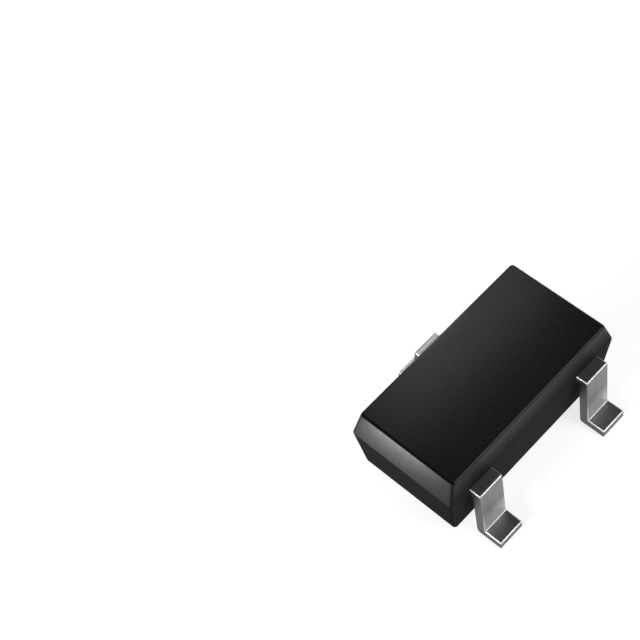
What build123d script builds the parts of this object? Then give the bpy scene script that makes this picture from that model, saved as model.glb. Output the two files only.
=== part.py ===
from build123d import *
import math
import os

# A three-lead surface-mount diode array in a moulded package. Sizes are in millimetres. The
# origin is on the board under the middle of the package: +X runs along the package, +Y towards
# the single lead, and +Z up.

# Moulded package, in two halves that meet at the parting plane. Each draft is how far a face
# leans in over the height of its half.
body_length = 2.904
body_width = 1.494
stand_off = 0.140
lower_half_height = 0.762
upper_half_height = 0.338
upper_end_draft = 0.112
upper_side_draft = 0.058
lower_end_draft = 0.110
lower_side_draft = 0.050
corner_radius = 0.045
top_edge_radius = 0.035
bottom_edge_radius = 0.030

# Leads outside the package. The strip's top lies in the parting plane.
lead_pitch = 1.90
lead_width = 0.381
lead_thickness = 0.125
shoulder_reach = 0.158
riser_lean = 4.6
foot_length = 0.353
shoulder_radius = 0.035
heel_radius = 0.050
inside_bend_radius = 0.012

# Inner ends of leads 1 and 2, where the wires land
post_inset = 0.236
post_depth = 0.200
post_outboard_lip = 0.045
post_inboard_lip = 0.410
post_corner_radius = 0.030

# Inner end of lead 3, which drops to the paddle under the chip
ramp_inset = 0.116
ramp_run = 0.120
paddle_drop_clearance = 0.015
paddle_length = 1.100
paddle_width = 0.620
paddle_corner_radius = 0.040

# Chip and what holds it
die_length = 0.550
die_width = 0.400
die_thickness = 0.150
adhesive_margin = 0.020
adhesive_thickness = 0.020
pad_pitch = 0.280
pad_size = 0.160
pad_thickness = 0.005

# Bond wires
wire_diameter = 0.050
ball_diameter = 0.120
ball_height = 0.030
ball_edge_radius = 0.010
loop_rise = 0.085
loop_flat_share = 0.34
loop_first_radius = 0.060
loop_second_radius = 0.150
stitch_length = 0.120
stitch_width = 0.090
stitch_thickness = 0.018
stitch_corner_radius = 0.036
stitch_inset = 0.190

# Heights and places that follow from the sizes above
parting_height = stand_off + lower_half_height
body_top = parting_height + upper_half_height
lead_top = parting_height
lead_underside = lead_top - lead_thickness
package_side = body_width / 2
paddle_top = lead_underside - paddle_drop_clearance
ramp_start = package_side - ramp_inset
paddle_back = ramp_start - ramp_run
paddle_front = paddle_back - paddle_width
die_y = (paddle_back + paddle_front) / 2
die_base = paddle_top + adhesive_thickness
die_top = die_base + die_thickness
pad_top = die_top + pad_thickness
post_middle = package_side - post_inset - post_depth / 2
post_inboard_edge = lead_pitch / 2 - lead_width / 2 - post_inboard_lip
post_outboard_edge = lead_pitch / 2 + lead_width / 2 + post_outboard_lip


def package_section(height, end_draft, side_draft):
    """Level section of the package, its ends and sides drawn in by the drafts given."""
    length = body_length - 2 * end_draft
    width = body_width - 2 * side_draft
    return Plane.XY.offset(height) * RectangleRounded(length, width, corner_radius)


def package_block():
    """The package as one solid block, with nothing cut out for what it holds."""
    parting = package_section(parting_height, 0, 0)
    top = package_section(body_top, upper_end_draft, upper_side_draft)
    bottom = package_section(stand_off, lower_end_draft, lower_side_draft)
    upper_half = loft([parting, top], ruled=True)
    lower_half = loft([bottom, parting], ruled=True)
    upper_half = fillet(upper_half.faces().sort_by(Axis.Z)[-1].edges(), top_edge_radius)
    lower_half = fillet(lower_half.faces().sort_by(Axis.Z)[0].edges(), bottom_edge_radius)
    return upper_half + lower_half


def gull_wing(neck_end):
    """One lead from its neck to its foot, pointing to +Y, with the neck ending at neck_end."""
    lean = math.tan(math.radians(riser_lean))
    riser_run = lead_thickness / math.cos(math.radians(riser_lean))
    shoulder = package_side + shoulder_reach
    inside_bend = shoulder + lead_underside * lean
    heel = shoulder + lead_top * lean - riser_run
    armpit = shoulder + lead_thickness * lean - riser_run
    tip = heel + foot_length
    corners = [
        ((neck_end, lead_top), 0),
        ((shoulder, lead_top), shoulder_radius),
        ((inside_bend, lead_thickness), inside_bend_radius),
        ((tip, lead_thickness), 0),
        ((tip, 0), 0),
        ((heel, 0), heel_radius),
        ((armpit, lead_underside), inside_bend_radius),
        ((neck_end, lead_underside), 0),
    ]
    points = [point for point, radius in corners]
    radii = [radius for point, radius in corners]
    outline = FilletPolyline(*points, radius=radii, close=True)
    return extrude(Plane.YZ * make_face(outline), lead_width / 2, both=True)


def lead_with_post(side):
    """Lead 1 (side -1) or lead 2 (side +1), with the widened end that its wire lands on."""
    wing = gull_wing(post_middle)
    wing = Pos(side * lead_pitch / 2, 0, 0) * Rot(0, 0, 180) * wing
    post_middle_x = side * (post_inboard_edge + post_outboard_edge) / 2
    post_length = post_outboard_edge - post_inboard_edge
    plan = RectangleRounded(post_length, post_depth, post_corner_radius)
    post = extrude(Pos(post_middle_x, -post_middle, lead_underside) * plan, lead_thickness)
    return wing + post


def lead_with_paddle():
    """Lead 3, whose neck slopes down inside the package to the paddle under the chip."""
    wing = gull_wing(ramp_start)
    paddle_base = paddle_top - lead_thickness
    slope = Polyline(
        (ramp_start, lead_top),
        (ramp_start, lead_underside),
        (paddle_back, paddle_base),
        (paddle_back, paddle_top),
        close=True,
    )
    ramp = extrude(Plane.YZ * make_face(slope), lead_width / 2, both=True)
    plan = RectangleRounded(paddle_length, paddle_width, paddle_corner_radius)
    paddle = extrude(Pos(0, die_y, paddle_base) * plan, lead_thickness)
    return wing + ramp + paddle


def layer(length, width, base, thickness, x=0):
    """A flat rectangular layer of the chip's stack, centred over the paddle."""
    return extrude(Pos(x, die_y, base) * Rectangle(length, width), thickness)


def bond_wire(side, post):
    """The wire from the pad on one side of the chip to the post on that side."""
    radius = wire_diameter / 2
    pad_x = side * pad_pitch / 2
    landing_x = side * (post_inboard_edge + stitch_inset)
    start = Vector(pad_x, die_y, pad_top + ball_height)
    peak = start + Vector(0, 0, loop_rise)
    landing = Vector(landing_x, -post_middle, lead_top + stitch_thickness / 2)
    run = Vector(landing.X - start.X, landing.Y - start.Y, 0)
    flat_end = peak + run * loop_flat_share
    path = FilletPolyline(
        start, peak, flat_end, landing, radius=[loop_first_radius, loop_second_radius]
    )
    tube = sweep(Plane(origin=start, z_dir=(0, 0, 1)) * Circle(radius), path=path)
    disc = Cylinder(ball_diameter / 2, ball_height, align=(Align.CENTER, Align.CENTER, Align.MIN))
    ball = Pos(pad_x, die_y, pad_top) * fillet(disc.edges().sort_by(Axis.Z)[-1], ball_edge_radius)
    heading = math.degrees(math.atan2(run.Y, run.X))
    stitch_plan = Rot(0, 0, heading) * RectangleRounded(
        stitch_length, stitch_width, stitch_corner_radius
    )
    stitch = extrude(Pos(landing.X, landing.Y, lead_top) * stitch_plan, stitch_thickness)
    return tube + ball + stitch - post


lead_1 = lead_with_post(-1)
lead_2 = lead_with_post(1)
lead_3 = lead_with_paddle()
adhesive_length = die_length + 2 * adhesive_margin
adhesive_width = die_width + 2 * adhesive_margin
die_attach = layer(adhesive_length, adhesive_width, paddle_top, adhesive_thickness)
die = layer(die_length, die_width, die_base, die_thickness)
anode_pad_1 = layer(pad_size, pad_size, die_top, pad_thickness, -pad_pitch / 2)
anode_pad_2 = layer(pad_size, pad_size, die_top, pad_thickness, pad_pitch / 2)
bond_wire_1 = bond_wire(-1, lead_1)
bond_wire_2 = bond_wire(1, lead_2)

held = {
    "lead_1": lead_1,
    "lead_2": lead_2,
    "lead_3": lead_3,
    "die_attach": die_attach,
    "die": die,
    "anode_pad_1": anode_pad_1,
    "anode_pad_2": anode_pad_2,
    "bond_wire_1": bond_wire_1,
    "bond_wire_2": bond_wire_2,
}

# The epoxy flows round everything, so the package is the block less all that it holds
mould_body = package_block()
for piece in held.values():
    mould_body = mould_body - piece

os.makedirs("parts", exist_ok=True)
for name, solid in {"mould_body": mould_body, **held}.items():
    export_step(solid, f"parts/{name}.step")
    box = solid.bounding_box()
    print(f"{name}: {box.size.X:.3f} x {box.size.Y:.3f} x {box.size.Z:.3f}, {solid.volume:.5f} mm3")
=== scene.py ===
from math import atan2, cos, pi, radians, sin, tan

import bmesh
import bpy
from mathutils import Matrix, Vector


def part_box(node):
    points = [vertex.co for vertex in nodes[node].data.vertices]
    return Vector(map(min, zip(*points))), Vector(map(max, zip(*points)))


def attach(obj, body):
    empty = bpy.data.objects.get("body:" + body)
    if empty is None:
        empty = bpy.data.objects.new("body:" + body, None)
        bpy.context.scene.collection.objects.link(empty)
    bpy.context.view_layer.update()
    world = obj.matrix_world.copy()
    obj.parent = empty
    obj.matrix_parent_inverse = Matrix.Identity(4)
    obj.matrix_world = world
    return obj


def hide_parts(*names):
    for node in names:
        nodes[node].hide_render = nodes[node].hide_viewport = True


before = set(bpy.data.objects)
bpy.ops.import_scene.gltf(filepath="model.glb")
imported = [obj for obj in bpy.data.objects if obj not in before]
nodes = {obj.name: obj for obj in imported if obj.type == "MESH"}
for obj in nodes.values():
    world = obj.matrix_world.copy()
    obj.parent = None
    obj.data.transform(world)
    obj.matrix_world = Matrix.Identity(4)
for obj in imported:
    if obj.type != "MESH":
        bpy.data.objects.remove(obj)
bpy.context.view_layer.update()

# Leads 1 and 2 are stamped from one copper-alloy strip with lead 3. After moulding, the strip is
# plated with matt tin, cut apart, and each lead is bent down and out into a gull wing. The inner
# end, sealed in the package, is a wider post that a bond wire lands on.
mm = 0.001
lead_pitch = 1.90
lead_width = 0.381
lead_thickness = 0.125
shoulder_reach = 0.158
riser_lean = radians(4.6)
foot_length = 0.353
shoulder_radius = 0.035
heel_radius = 0.050
inside_bend_radius = 0.017
post_depth = 0.200
post_corner_radius = 0.030
rolled_edge_radius = 0.016
cut_edge_radius = 0.007
sharp_edge_angle = radians(60)
round_profile = 0.5
edge_segments = 4
bend_steps = 8

package_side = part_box("mould_body")[1].y / mm
strip_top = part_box("lead_3")[1].z / mm
strip_underside = strip_top - lead_thickness


def rounded_corner(before, corner, after, radius):
    """Points along the arc that rounds one corner of an outline."""
    corner = Vector(corner)
    arms = [(Vector(point) - corner).normalized() for point in (before, after)]
    half_angle = arms[0].angle(arms[1]) / 2
    centre = corner + (arms[0] + arms[1]).normalized() * radius / sin(half_angle)
    spokes = [corner + arm * radius / tan(half_angle) - centre for arm in arms]
    first = atan2(spokes[0].y, spokes[0].x)
    turn = spokes[1].angle_signed(spokes[0])
    angles = [first + turn * step / bend_steps for step in range(bend_steps + 1)]
    return [centre + Vector((cos(angle), sin(angle))) * radius for angle in angles]


def gull_wing():
    """Upper and lower edge of a lead's side view, from the package's side out to the tip."""
    lean = tan(riser_lean)
    riser_run = lead_thickness / cos(riser_lean)
    shoulder = (package_side + shoulder_reach, strip_top)
    inside_bend = (shoulder[0] + strip_underside * lean, lead_thickness)
    heel = (shoulder[0] + strip_top * lean - riser_run, 0)
    armpit = (shoulder[0] + lead_thickness * lean - riser_run, strip_underside)
    tip = heel[0] + foot_length
    upper_start = (package_side, strip_top)
    lower_start = (package_side, strip_underside)
    upper = [
        *rounded_corner(upper_start, shoulder, inside_bend, shoulder_radius),
        *rounded_corner(shoulder, inside_bend, (tip, lead_thickness), inside_bend_radius),
        Vector((tip, lead_thickness)),
    ]
    lower = [
        *rounded_corner(lower_start, armpit, heel, inside_bend_radius),
        *rounded_corner(armpit, heel, (tip, 0), heel_radius),
        Vector((tip, 0)),
    ]
    return upper, lower


def plate_outline(neck, left, right, edge, depth, radius):
    """Plan of the plate at a lead's inner end, round from one side of its neck to the other."""
    neck_left = (neck - lead_width / 2, edge)
    neck_right = (neck + lead_width / 2, edge)
    plate = [(left, edge), (left, edge - depth), (right, edge - depth), (right, edge)]
    corners = [neck_left, *plate, neck_right]
    outline = [Vector(neck_left)]
    for before, corner, after in zip(corners, corners[1:], corners[2:]):
        outline += rounded_corner(before, corner, after, radius)
    return [*outline, Vector(neck_right)]


def join_rings(shape, rings):
    """Adds the faces between each ring of points and the next."""
    for ring, next_ring in zip(rings, rings[1:]):
        for index, point in enumerate(ring):
            following = (index + 1) % len(ring)
            shape.faces.new((point, ring[following], next_ring[following], next_ring[index]))


def lead_shape(outline, plate_top, upper, lower):
    """Mesh of a lead that points to +Y: the plate, and the strip from the plate to the tip."""
    shape = bmesh.new()
    plate_base = plate_top - lead_thickness
    top = [shape.verts.new((*point, plate_top)) for point in outline]
    base = [shape.verts.new((*point, plate_base)) for point in outline]
    upper_side = top[:]
    shape.faces.new(reversed(top))
    shape.faces.new(base)
    for index in range(len(outline) - 1):
        shape.faces.new((top[index], top[index + 1], base[index + 1], base[index]))
    left, right = outline[0].x, outline[-1].x
    stations = [[top[0], top[-1], base[-1], base[0]]]
    for high, low in zip(upper, lower):
        corners = ((left, *high), (right, *high), (right, *low), (left, *low))
        stations.append([shape.verts.new(corner) for corner in corners])
        upper_side += stations[-1][:2]
    join_rings(shape, stations)
    shape.faces.new(stations[-1])
    bmesh.ops.recalc_face_normals(shape, faces=shape.faces)
    for vertex in upper_side:
        vertex.tag = True
    return shape


def round_edges(shape, radius, chosen):
    """Rounds the chosen ones of the sharp outer edges, and returns the narrow faces it makes."""
    edges = [
        edge
        for edge in shape.edges
        if edge.is_convex and edge.calc_face_angle() > sharp_edge_angle and chosen(edge)
    ]
    made = bmesh.ops.bevel(
        shape,
        geom=edges,
        offset=radius,
        segments=edge_segments,
        profile=round_profile,
        affect="EDGES",
    )
    return made["faces"]


def finished_mesh(name, shape, edge_faces=()):
    """The mesh in metres, where flat faces shade flat and the edges between them shade round."""
    shape.normal_update()
    normals = []
    for vertex in shape.verts:
        flat = [face for face in vertex.link_faces if face not in edge_faces]
        faces = flat or vertex.link_faces
        normals.append(sum((face.normal * face.calc_area() for face in faces), Vector()).normalized())
    bmesh.ops.scale(shape, vec=(mm, mm, mm), verts=shape.verts)
    mesh = bpy.data.meshes.new(name)
    shape.to_mesh(mesh)
    shape.free()
    mesh.shade_smooth()
    mesh.normals_split_custom_set_from_vertices(normals)
    return mesh


def add_object(name, data):
    """Adds an object with the given mesh, lamp or camera to the scene."""
    added = bpy.data.objects.new(name, data)
    bpy.context.scene.collection.objects.link(added)
    return added


def add_lead(name, shape, place, node):
    """Rounds a lead's rolled upper edges and cut lower edges, and adds it where it belongs."""
    rolled = round_edges(
        shape, rolled_edge_radius, lambda edge: all(vertex.tag for vertex in edge.verts)
    )
    cut = round_edges(shape, cut_edge_radius, lambda edge: True)
    edge_faces = {face for face in (*rolled, *cut) if face.is_valid}
    bmesh.ops.transform(shape, matrix=place, verts=shape.verts)
    lead = add_object(name, finished_mesh(name, shape, edge_faces))
    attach(lead, "root")
    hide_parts(node)
    return lead


post_low, post_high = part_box("lead_2")
post_left, post_right = post_low.x / mm, post_high.x / mm
post_edge = post_depth - post_high.y / mm
wing_upper, wing_lower = gull_wing()
half_turn = Matrix.Rotation(pi, 4, "Z")
leads = []
for side, node in ((-1, "lead_1"), (1, "lead_2")):
    limits = sorted((-side * post_left, -side * post_right))
    outline = plate_outline(-side * lead_pitch / 2, *limits, post_edge, post_depth, post_corner_radius)
    shape = lead_shape(outline, strip_top, wing_upper, wing_lower)
    leads.append(add_lead("tinned_" + node, shape, half_turn, node))

# Lead 3 comes out of the middle of the other side. Inside the package it slopes down to the
# paddle, a plate of the same strip that carries the chip.
ramp_inset = 0.116
ramp_run = 0.120
paddle_drop = 0.140
paddle_corner_radius = 0.040

paddle_low, paddle_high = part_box("lead_3")
ramp_start = package_side - ramp_inset
paddle_edge = ramp_start - ramp_run
paddle_depth = paddle_edge - paddle_low.y / mm
paddle = plate_outline(
    0, paddle_low.x / mm, paddle_high.x / mm, paddle_edge, paddle_depth, paddle_corner_radius
)
ramp_upper = [Vector((ramp_start, strip_top)), *wing_upper]
ramp_lower = [Vector((ramp_start, strip_underside)), *wing_lower]
shape = lead_shape(paddle, strip_top - paddle_drop, ramp_upper, ramp_lower)
leads.append(add_lead("tinned_lead_3", shape, Matrix.Identity(4), "lead_3"))

# The leads wear a few thousandths of a millimetre of matt tin over the copper alloy, fine grained
# and with faint lines along the rolled strip. Its colour carries painted light: painted shade on the
# shoulder bends, a painted highlight at the other bends, a painted sheen down the risers to the
# inside bend, and rolled edges that are bright and painted brighter still. The cut sides are dull,
# and painted darker still as painted shade.
tin_grain = 0.012
rolling_line_width = 0.020
rolling_line_length = 1.5
grain_detail = 2
grain_contrast = (0.3, 0.7)


def add_sockets(group, way, vectors, numbers):
    """Gives a shader group its named inputs or outputs."""
    for name in vectors:
        group.interface.new_socket(name, in_out=way, socket_type="NodeSocketVector")
    for name in numbers:
        group.interface.new_socket(name, in_out=way, socket_type="NodeSocketFloat")


def grain_group():
    """Shader group: fine grain of a given size, as a mask, a roughness and a bumped normal."""
    group = bpy.data.node_groups.new("surface grain", "ShaderNodeTree")
    add_sockets(group, "INPUT", ["Position"], ["Grain Size", "Depth", "Smoothest", "Roughest"])
    add_sockets(group, "OUTPUT", ["Normal"], ["Mask", "Roughness"])
    given = group.nodes.new("NodeGroupInput")
    result = group.nodes.new("NodeGroupOutput")
    grains = group.nodes.new("ShaderNodeVectorMath")
    grains.operation = "DIVIDE"
    noise = group.nodes.new("ShaderNodeTexNoise")
    noise.inputs["Scale"].default_value = 1
    noise.inputs["Detail"].default_value = grain_detail
    spread = group.nodes.new("ShaderNodeMapRange")
    spread.inputs["From Min"].default_value = grain_contrast[0]
    spread.inputs["From Max"].default_value = grain_contrast[1]
    finish = group.nodes.new("ShaderNodeMapRange")
    bump = group.nodes.new("ShaderNodeBump")
    link = group.links.new
    link(given.outputs["Position"], grains.inputs[0])
    link(given.outputs["Grain Size"], grains.inputs[1])
    link(grains.outputs[0], noise.inputs["Vector"])
    link(noise.outputs["Fac"], spread.inputs["Value"])
    link(spread.outputs[0], finish.inputs["Value"])
    link(given.outputs["Smoothest"], finish.inputs["To Min"])
    link(given.outputs["Roughest"], finish.inputs["To Max"])
    link(noise.outputs["Fac"], bump.inputs["Height"])
    link(given.outputs["Depth"], bump.inputs["Distance"])
    link(spread.outputs[0], result.inputs["Mask"])
    link(finish.outputs[0], result.inputs["Roughness"])
    link(bump.outputs[0], result.inputs["Normal"])
    return group


surface_grain = grain_group()


def new_material(name):
    """A node material, with its tree, its shader and the position on the part in millimetres."""
    material = bpy.data.materials.new(name)
    material.use_nodes = True
    tree = material.node_tree
    place = tree.nodes.new("ShaderNodeTexCoord")
    millimetres = tree.nodes.new("ShaderNodeVectorMath")
    millimetres.operation = "SCALE"
    millimetres.inputs["Scale"].default_value = 1 / mm
    tree.links.new(place.outputs["Object"], millimetres.inputs[0])
    return material, tree, tree.nodes["Principled BSDF"], millimetres.outputs[0]


def add_grain(tree, position, size, roughness=(0, 1), depth=0):
    """Places the grain group in a material, at its own size, range of roughness and depth."""
    grain = tree.nodes.new("ShaderNodeGroup")
    grain.node_tree = surface_grain
    tree.links.new(position, grain.inputs["Position"])
    grain.inputs["Grain Size"].default_value = size
    grain.inputs["Depth"].default_value = depth * mm
    grain.inputs["Smoothest"].default_value = roughness[0]
    grain.inputs["Roughest"].default_value = roughness[1]
    return grain


def blend_tones(tree, mask, tones):
    """A surface's colour, between two tones by a mask."""
    mix = tree.nodes.new("ShaderNodeMix")
    mix.data_type = "RGBA"
    mix.inputs["A"].default_value = (*tones[0], 1)
    mix.inputs["B"].default_value = (*tones[1], 1)
    tree.links.new(mask, mix.inputs["Factor"])
    return mix.outputs["Result"]


# Painted sheen: below this height the risers are painted lighter down to the inside bend, standing in
# for light off the foot.
painted_sheen_top = 0.50


def paint_sheen_to_bend(tree, position, plain, painted_highlight):
    """A riser's colour, painted from plain to a painted sheen down towards the inside bend, in place of
    light thrown up off the foot.
    """
    split = tree.nodes.new("ShaderNodeSeparateXYZ")
    tree.links.new(position, split.inputs[0])
    height = tree.nodes.new("ShaderNodeMapRange")
    height.inputs["From Min"].default_value = painted_sheen_top
    height.inputs["From Max"].default_value = lead_thickness
    tree.links.new(split.outputs["Z"], height.inputs["Value"])
    fade = tree.nodes.new("ShaderNodeMix")
    fade.data_type = "RGBA"
    tree.links.new(height.outputs[0], fade.inputs["Factor"])
    tree.links.new(plain, fade.inputs["A"])
    tree.links.new(painted_highlight, fade.inputs["B"])
    return fade.outputs["Result"]


def matt_tin(name, tones, roughness, painted_sheen_tones=None):
    """Matt tin plate over rolled strip; with painted sheen tones, it is painted lighter down to the
    inside bend.
    """
    material, tree, shader, position = new_material(name)
    shader.inputs["Metallic"].default_value = 1.0
    along_strip = tree.nodes.new("ShaderNodeVectorMath")
    along_strip.operation = "MULTIPLY"
    stretch = rolling_line_width / rolling_line_length
    along_strip.inputs[1].default_value = (1, stretch, stretch)
    tree.links.new(position, along_strip.inputs[0])
    lines = add_grain(tree, along_strip.outputs[0], rolling_line_width)
    colour = blend_tones(tree, lines.outputs["Mask"], tones)
    if painted_sheen_tones:
        painted_highlight = blend_tones(tree, lines.outputs["Mask"], painted_sheen_tones)
        colour = paint_sheen_to_bend(tree, position, colour, painted_highlight)
    tree.links.new(colour, shader.inputs["Base Color"])
    grain = add_grain(tree, position, tin_grain, roughness)
    tree.links.new(grain.outputs["Roughness"], shader.inputs["Roughness"])
    return material


flat_tones = ((0.155, 0.155, 0.158), (0.195, 0.195, 0.199))
flat_roughness = (0.40, 0.44)
riser_tones = ((0.19, 0.19, 0.193), (0.24, 0.24, 0.243))
# Painted sheen: the lighter tones painted at the bottom of the risers.
riser_painted_sheen_tones = ((0.60, 0.60, 0.605), (0.70, 0.70, 0.705))
riser_roughness = (0.46, 0.50)
# The cut sides are sheared and dull, and are painted darker still as painted shade, for the dark
# underside of the package they face.
cut_dull_and_shade_tones = ((0.06, 0.06, 0.062), (0.085, 0.085, 0.087))
cut_roughness = (0.34, 0.42)
# Painted highlight: the bends are painted much lighter than the flat tin, so that their lines shine
# white.
bend_painted_highlight_tones = ((0.29, 0.29, 0.293), (0.35, 0.35, 0.354))
burnished_roughness = (0.22, 0.26)
# The rolled edges are brighter than the faces, and are painted lighter still as a painted highlight, so
# that they show as white lines.
edge_burnish_and_highlight_tones = ((0.56, 0.56, 0.565), (0.64, 0.64, 0.645))
edge_roughness = (0.38, 0.42)
# Painted shade: the upper part of each shoulder bend is painted dark, so that its highlight line stays
# narrow.
shoulder_painted_shade_tones = ((0.06, 0.06, 0.062), (0.08, 0.08, 0.082))
shoulder_roughness = (0.36, 0.42)
lead_finishes = {
    "flat faces": matt_tin("matt tin", flat_tones, flat_roughness),
    "risers": matt_tin("matt tin on risers", riser_tones, riser_roughness, riser_painted_sheen_tones),
    "cut sides": matt_tin("matt tin on cut sides", cut_dull_and_shade_tones, cut_roughness),
    "bends": matt_tin("burnished tin", bend_painted_highlight_tones, burnished_roughness),
    "edges": matt_tin("burnished tin on edges", edge_burnish_and_highlight_tones, edge_roughness),
    "shoulders": matt_tin("painted_shade tin", shoulder_painted_shade_tones, shoulder_roughness),
}

# One finish gives way to the next where a face's normal points this far up or along an axis.
level = 0.99
least_up_on_shoulder = 0.80
least_up_on_bend = 0.30
least_up_on_edge = 0.15
square_on = 0.84
half_turned = 0.5
most_sideways = 0.01
tip_depth = 0.02


def finish_of(face, tip):
    """The finish of one face of a lead, told by where it faces and whether it is at the tip."""
    across, along, up = abs(face.normal.x), abs(face.normal.y), face.normal.z
    at_shoulder = face.center.z > strip_underside * mm and across < most_sideways
    at_tip = abs(face.center.y) > tip - tip_depth * mm
    slanted = max(across, along, abs(up)) < square_on
    if at_shoulder and least_up_on_shoulder < up < level:
        return "shoulders"
    if (at_tip or across > along) and least_up_on_edge < up < level:
        return "edges"
    if slanted and up > least_up_on_bend:
        return "bends"
    if at_tip and abs(up) < square_on or across > half_turned and not slanted:
        return "cut sides"
    return "risers" if along > half_turned else "flat faces"


for lead in leads:
    for finish in lead_finishes.values():
        lead.data.materials.append(finish)
    tip = max(abs(vertex.co.y) for vertex in lead.data.vertices)
    for face in lead.data.polygons:
        face.material_index = list(lead_finishes).index(finish_of(face, tip))


def inner_material(name, tones, metallic, grain_size, depth, roughness):
    """Finish of a part sealed in the package."""
    material, tree, shader, position = new_material(name)
    shader.inputs["Metallic"].default_value = metallic
    grain = add_grain(tree, position, grain_size, roughness, depth)
    colour = blend_tones(tree, grain.outputs["Mask"], tones)
    tree.links.new(colour, shader.inputs["Base Color"])
    tree.links.new(grain.outputs["Roughness"], shader.inputs["Roughness"])
    tree.links.new(grain.outputs["Normal"], shader.inputs["Normal"])
    return material


def dress(node, material):
    """Gives a CAD node one material in place of its own."""
    nodes[node].data.materials.clear()
    nodes[node].data.materials.append(material)


silver_adhesive = inner_material(
    "silver adhesive",
    tones=((0.42, 0.42, 0.41), (0.60, 0.60, 0.58)),
    metallic=0,
    grain_size=0.010,
    depth=0.001,
    roughness=(0.5, 0.8),
)
silicon = inner_material(
    "silicon",
    tones=((0.10, 0.11, 0.13), (0.16, 0.17, 0.20)),
    metallic=0.6,
    grain_size=0.030,
    depth=0.0001,
    roughness=(0.12, 0.20),
)
pad_aluminium = inner_material(
    "pad aluminium",
    tones=((0.75, 0.75, 0.76), (0.85, 0.85, 0.86)),
    metallic=1,
    grain_size=0.006,
    depth=0.0002,
    roughness=(0.30, 0.45),
)
dress("die_attach", silver_adhesive)
dress("die", silicon)
for node in ("anode_pad_1", "anode_pad_2"):
    dress(node, pad_aluminium)

# Each bond wire is fine gold, melted to a ball on its pad, looped over, and pressed flat on the
# post of its lead.
bonding_gold = inner_material(
    "bonding gold",
    tones=((0.85, 0.55, 0.18), (0.95, 0.66, 0.27)),
    metallic=1,
    grain_size=0.020,
    depth=0.0001,
    roughness=(0.15, 0.25),
)
for node in ("bond_wire_1", "bond_wire_2"):
    dress(node, bonding_gold)

# The package is black epoxy, moulded round all the rest in a two-part mould that meets level with
# the top of the leads. Both halves taper away from there, so that the part comes free. The top
# half is finely spark-finished, and the bottom half is coarser and duller.
upper_end_draft = 0.112
upper_side_draft = 0.058
lower_end_draft = 0.110
lower_side_draft = 0.050
corner_radius = 0.045
top_edge_radius = 0.035
bottom_edge_radius = 0.030
parting_radius = 0.10

package_low, package_high = (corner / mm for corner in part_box("mould_body"))


def wall_section(half_size, upper_draft, lower_draft):
    """Side view of one wall of the package, as its rounded bottom, parting and top corners."""
    corners = [
        Vector((0, package_low.z)),
        Vector((half_size - lower_draft, package_low.z)),
        Vector((half_size, strip_top)),
        Vector((half_size - upper_draft, package_high.z)),
        Vector((0, package_high.z)),
    ]
    radii = (bottom_edge_radius, parting_radius, top_edge_radius)
    bends = zip(corners, corners[1:], corners[2:], radii)
    return [rounded_corner(*bend) for bend in bends]


def package_ring(shape, end, side, radius):
    """One ring of points round the package, as far out at its ends and sides as given."""
    ring = []
    for quarter, (x_side, y_side) in enumerate(((1, 1), (-1, 1), (-1, -1), (1, -1))):
        for step in range(bend_steps + 1):
            angle = (quarter + step / bend_steps) * pi / 2
            across, along = cos(angle), sin(angle)
            x = (end.x - radius) * x_side + radius * across
            y = (side.x - radius) * y_side + radius * along
            z = end.y * across ** 2 + side.y * along ** 2
            ring.append(shape.verts.new((x, y, z)))
    return ring


def package_shape():
    """Mesh of the moulding: level rings with rounded corners, from the bottom to the top."""
    shape = bmesh.new()
    ends = wall_section(package_high.x, upper_end_draft, lower_end_draft)
    sides = wall_section(package_high.y, upper_side_draft, lower_side_draft)
    parting = ends[1]
    rings = []
    for end_points, side_points in zip(ends, sides):
        wall = max(point.x for point in end_points)
        for end, side in zip(end_points, side_points):
            inset = 0 if end_points is parting else wall - end.x
            rings.append(package_ring(shape, end, side, corner_radius - inset))
    join_rings(shape, rings)
    shape.faces.new(reversed(rings[0]))
    shape.faces.new(rings[-1])
    return shape


package = add_object("moulded_package", finished_mesh("moulded_package", package_shape()))
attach(package, "root")
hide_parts("mould_body")

speckle_size = 0.027
speckle_depth = 0.0011
speckle_roughness = 0.10
cloud_size = 0.5


def black_epoxy(name, tones, roughness, shine):
    """Black moulding compound, with its roughness at the parting line and at the top."""
    material, tree, shader, position = new_material(name)
    link = tree.links.new
    split = tree.nodes.new("ShaderNodeSeparateXYZ")
    link(position, split.inputs[0])
    grain = add_grain(tree, position, speckle_size, depth=speckle_depth)
    for limit, extra in (("Smoothest", 0), ("Roughest", speckle_roughness)):
        height = tree.nodes.new("ShaderNodeMapRange")
        height.inputs["From Min"].default_value = strip_top
        height.inputs["From Max"].default_value = package_high.z - top_edge_radius
        height.inputs["To Min"].default_value = roughness[0] + extra
        height.inputs["To Max"].default_value = roughness[1] + extra
        link(split.outputs["Z"], height.inputs["Value"])
        link(height.outputs[0], grain.inputs[limit])
    link(grain.outputs["Roughness"], shader.inputs["Roughness"])
    link(grain.outputs["Normal"], shader.inputs["Normal"])
    clouds = add_grain(tree, position, cloud_size)
    link(blend_tones(tree, clouds.outputs["Mask"], tones), shader.inputs["Base Color"])
    shader.inputs["Specular IOR Level"].default_value = shine
    return material


smooth_tones = ((0.0015, 0.0015, 0.0016), (0.0025, 0.0025, 0.0026))
coarse_tones = ((0.006, 0.006, 0.0061), (0.009, 0.009, 0.0091))
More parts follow.
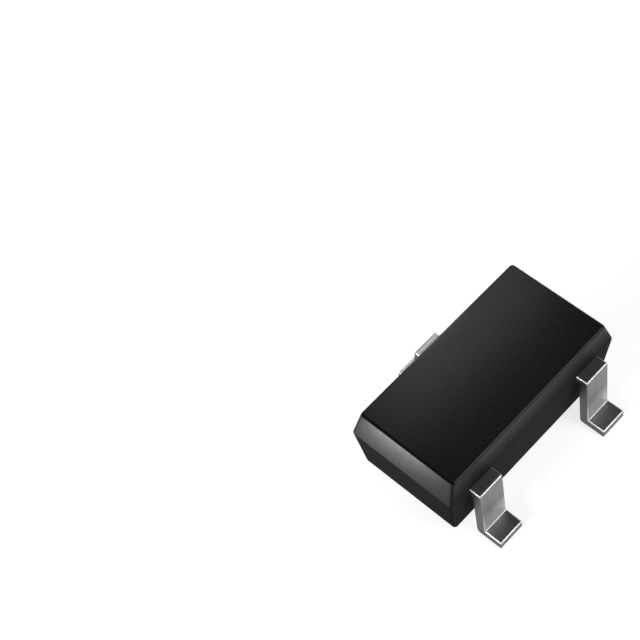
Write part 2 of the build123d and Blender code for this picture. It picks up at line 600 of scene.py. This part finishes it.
# Painted shade: the lower end walls are painted darker than the lower side walls.
lower_end_painted_shade_tones = ((0.003, 0.003, 0.0031), (0.005, 0.005, 0.0051))
package_finishes = {
    "top": black_epoxy("epoxy top", smooth_tones, roughness=(0.26, 0.26), shine=0.48),
    "sides": black_epoxy("epoxy sides", smooth_tones, roughness=(0.80, 0.34), shine=0.20),
    "ends": black_epoxy("epoxy ends", smooth_tones, roughness=(0.60, 0.31), shine=0.21),
    "lower ends": black_epoxy(
        "epoxy lower ends", lower_end_painted_shade_tones, roughness=(0.85, 0.85), shine=0.04
    ),
    "lower sides": black_epoxy(
        "epoxy lower sides", coarse_tones, roughness=(0.85, 0.85), shine=0.14
    ),
    "corners": black_epoxy("epoxy corners", smooth_tones, roughness=(0.80, 0.60), shine=0.04),
}
for finish in package_finishes.values():
    package.data.materials.append(finish)

# One zone of the mould gives way to the next where a face's normal points this far along an axis.
least_up_on_top = 0.985
least_up_on_top_edge = 0.5
towards_near_end = -0.1
corner_turn = 0.43


def zone_of(face):
    """The zone of the mould that a face of the package was formed in."""
    wall = "ends" if abs(face.normal.x) > abs(face.normal.y) else "sides"
    if face.center.z / mm < strip_top:
        return "lower " + wall
    if face.normal.z > least_up_on_top:
        return "top"
    near_edge = face.normal.z > least_up_on_top_edge and face.normal.x < towards_near_end
    if near_edge or abs(face.normal.x * face.normal.y) > corner_turn:
        return "corners"
    return wall


for face in package.data.polygons:
    face.material_index = list(package_finishes).index(zone_of(face))

# The part stands on a plain pale table, which curves up all round into a low wall. The table
# shows nearly white to the camera and in the tin, and keeps the part's shadow.
table_radius = 115
cove_radius = 30
wall_top = 60
table_steps = 48
table_tone = (0.34, 0.34, 0.34)
table_roughness = 0.9
table_shine = 0.1
table_glow = 0.76


def table_shape():
    """Mesh of the table: a disc, and rings that follow the cove and the wall."""
    rim = table_radius + cove_radius
    profile = rounded_corner((0, 0), (rim, 0), (rim, wall_top), cove_radius)
    profile.append(Vector((rim, wall_top)))
    angles = [2 * pi * step / table_steps for step in range(table_steps)]
    shape = bmesh.new()
    rings = [
        [shape.verts.new((point.x * cos(angle), point.x * sin(angle), point.y)) for angle in angles]
        for point in profile
    ]
    shape.faces.new(rings[0])
    join_rings(shape, rings[::-1])
    return shape


table = add_object("floor", finished_mesh("floor", table_shape()))

table_finish = bpy.data.materials.new("pale table")
table_finish.use_nodes = True
table_nodes = table_finish.node_tree.nodes
table_link = table_finish.node_tree.links.new
table_shader = table_nodes["Principled BSDF"]
table_shader.inputs["Base Color"].default_value = (*table_tone, 1)
table_shader.inputs["Roughness"].default_value = table_roughness
table_shader.inputs["Specular IOR Level"].default_value = table_shine
table_shader.inputs["Emission Color"].default_value = (1, 1, 1, 1)
rays = table_nodes.new("ShaderNodeLightPath")
seen = rays.outputs["Is Camera Ray"]
for ray in ("Is Glossy Ray", "Is Transmission Ray"):
    either = table_nodes.new("ShaderNodeMath")
    either.operation = "MAXIMUM"
    table_link(seen, either.inputs[0])
    table_link(rays.outputs[ray], either.inputs[1])
    seen = either.outputs[0]
glow = table_nodes.new("ShaderNodeMath")
glow.operation = "MULTIPLY"
glow.inputs[1].default_value = table_glow
table_link(seen, glow.inputs[0])
table_link(glow.outputs[0], table_shader.inputs["Emission Strength"])
table.data.materials.append(table_finish)

# Nine soft lamps light the part. The five far ones are the studio's own. The four small ones close
# by put the sheen on the back of the top, its far end, lead 3 and the upper wall of the near end.
middle = Vector((0, 0, 0.5))
lamp_distance = 110


def softbox(name, place, aim, width, height, radiance):
    """A rectangular lamp at place, turned to aim, with sizes and places in millimetres."""
    data = bpy.data.lights.new(name, "AREA")
    data.shape = "RECTANGLE"
    data.size = width * mm
    data.size_y = height * mm
    data.energy = radiance * pi * width * height * mm * mm
    lamp = add_object(name, data)
    lamp.location = Vector(place) * mm
    lamp.rotation_euler = (Vector(place) - Vector(aim)).to_track_quat("Z", "Y").to_euler()
    lamp.visible_camera = False


def far_softbox(name, azimuth, elevation, width, height, radiance):
    """A softbox far off, aimed at the part; azimuth is turned from +X towards +Y."""
    azimuth, elevation = radians(azimuth), radians(elevation)
    direction = Vector((
        cos(elevation) * cos(azimuth), cos(elevation) * sin(azimuth), sin(elevation)
    ))
    softbox(name, direction * lamp_distance, middle, width, height, radiance)


far_softbox("left back", azimuth=170, elevation=24, width=110, height=50, radiance=4)
far_softbox("left", azimuth=177, elevation=22, width=28, height=30, radiance=20)
far_softbox("front", azimuth=296, elevation=28, width=44, height=44, radiance=5.5)
far_softbox("front high", azimuth=298, elevation=54, width=59, height=40, radiance=6.5)
far_softbox("right back", azimuth=28, elevation=16, width=37, height=29, radiance=6)
softbox("over the top", (0.95, 1.50, 2.9), (0.95, 0.66, 1.24), width=3.3, height=1.5, radiance=0.52)
softbox("over the far end", (1.95, 2.20, 4.3), (1.95, 0.66, 1.24), width=3.0, height=1.7, radiance=0.45)
softbox("over lead 3", (0.50, 1.66, 1.74), (0.50, 1.06, 0.50), width=0.9, height=0.9, radiance=5.2)
softbox("by the end", (-2.56, 0.60, 0.40), (-1.4, -0.04, 1.10), width=1.05, height=0.4, radiance=15.5)

# The room beyond the table's wall is dark, with a little even light from all round. Colours are
# shown as they are made.
room_tone = (0.05, 0.05, 0.05)

room = bpy.data.worlds.new("studio")
room.use_nodes = True
room.node_tree.nodes["Background"].inputs["Color"].default_value = (*room_tone, 1)
bpy.context.scene.world = room
bpy.context.scene.view_settings.view_transform = "Standard"

# The camera looks down on the near end and the side with two leads. The package is low and to the
# right in the picture, so the camera is aimed past its upper left.
view_azimuth = radians(-38.79)
view_elevation = radians(56.59)
view_roll = radians(9.558)
view_distance = 17.762
right_of_aim = 1.928
below_aim = 0.962
lens_pixels = 1509.8
frame_pixels = 640
sensor_width = 36
nearest_seen = 0.1
farthest_seen = 1000

back = Vector((
    sin(view_azimuth) * cos(view_elevation),
    -cos(view_azimuth) * cos(view_elevation),
    sin(view_elevation),
))
level_right = (-back).cross(Vector((0, 0, 1))).normalized()
level_up = back.cross(level_right)
right = level_right * cos(view_roll) - level_up * sin(view_roll)
up = level_right * sin(view_roll) + level_up * cos(view_roll)

camera_data = bpy.data.cameras.new("camera")
camera_data.sensor_width = sensor_width
camera_data.lens = lens_pixels * sensor_width / frame_pixels
camera_data.clip_start = nearest_seen * mm
camera_data.clip_end = farthest_seen * mm
camera = add_object("camera", camera_data)
camera.matrix_world = Matrix((right, up, back)).transposed().to_4x4()
camera.location = (middle + back * view_distance - right * right_of_aim + up * below_aim) * mm
bpy.context.scene.camera = camera
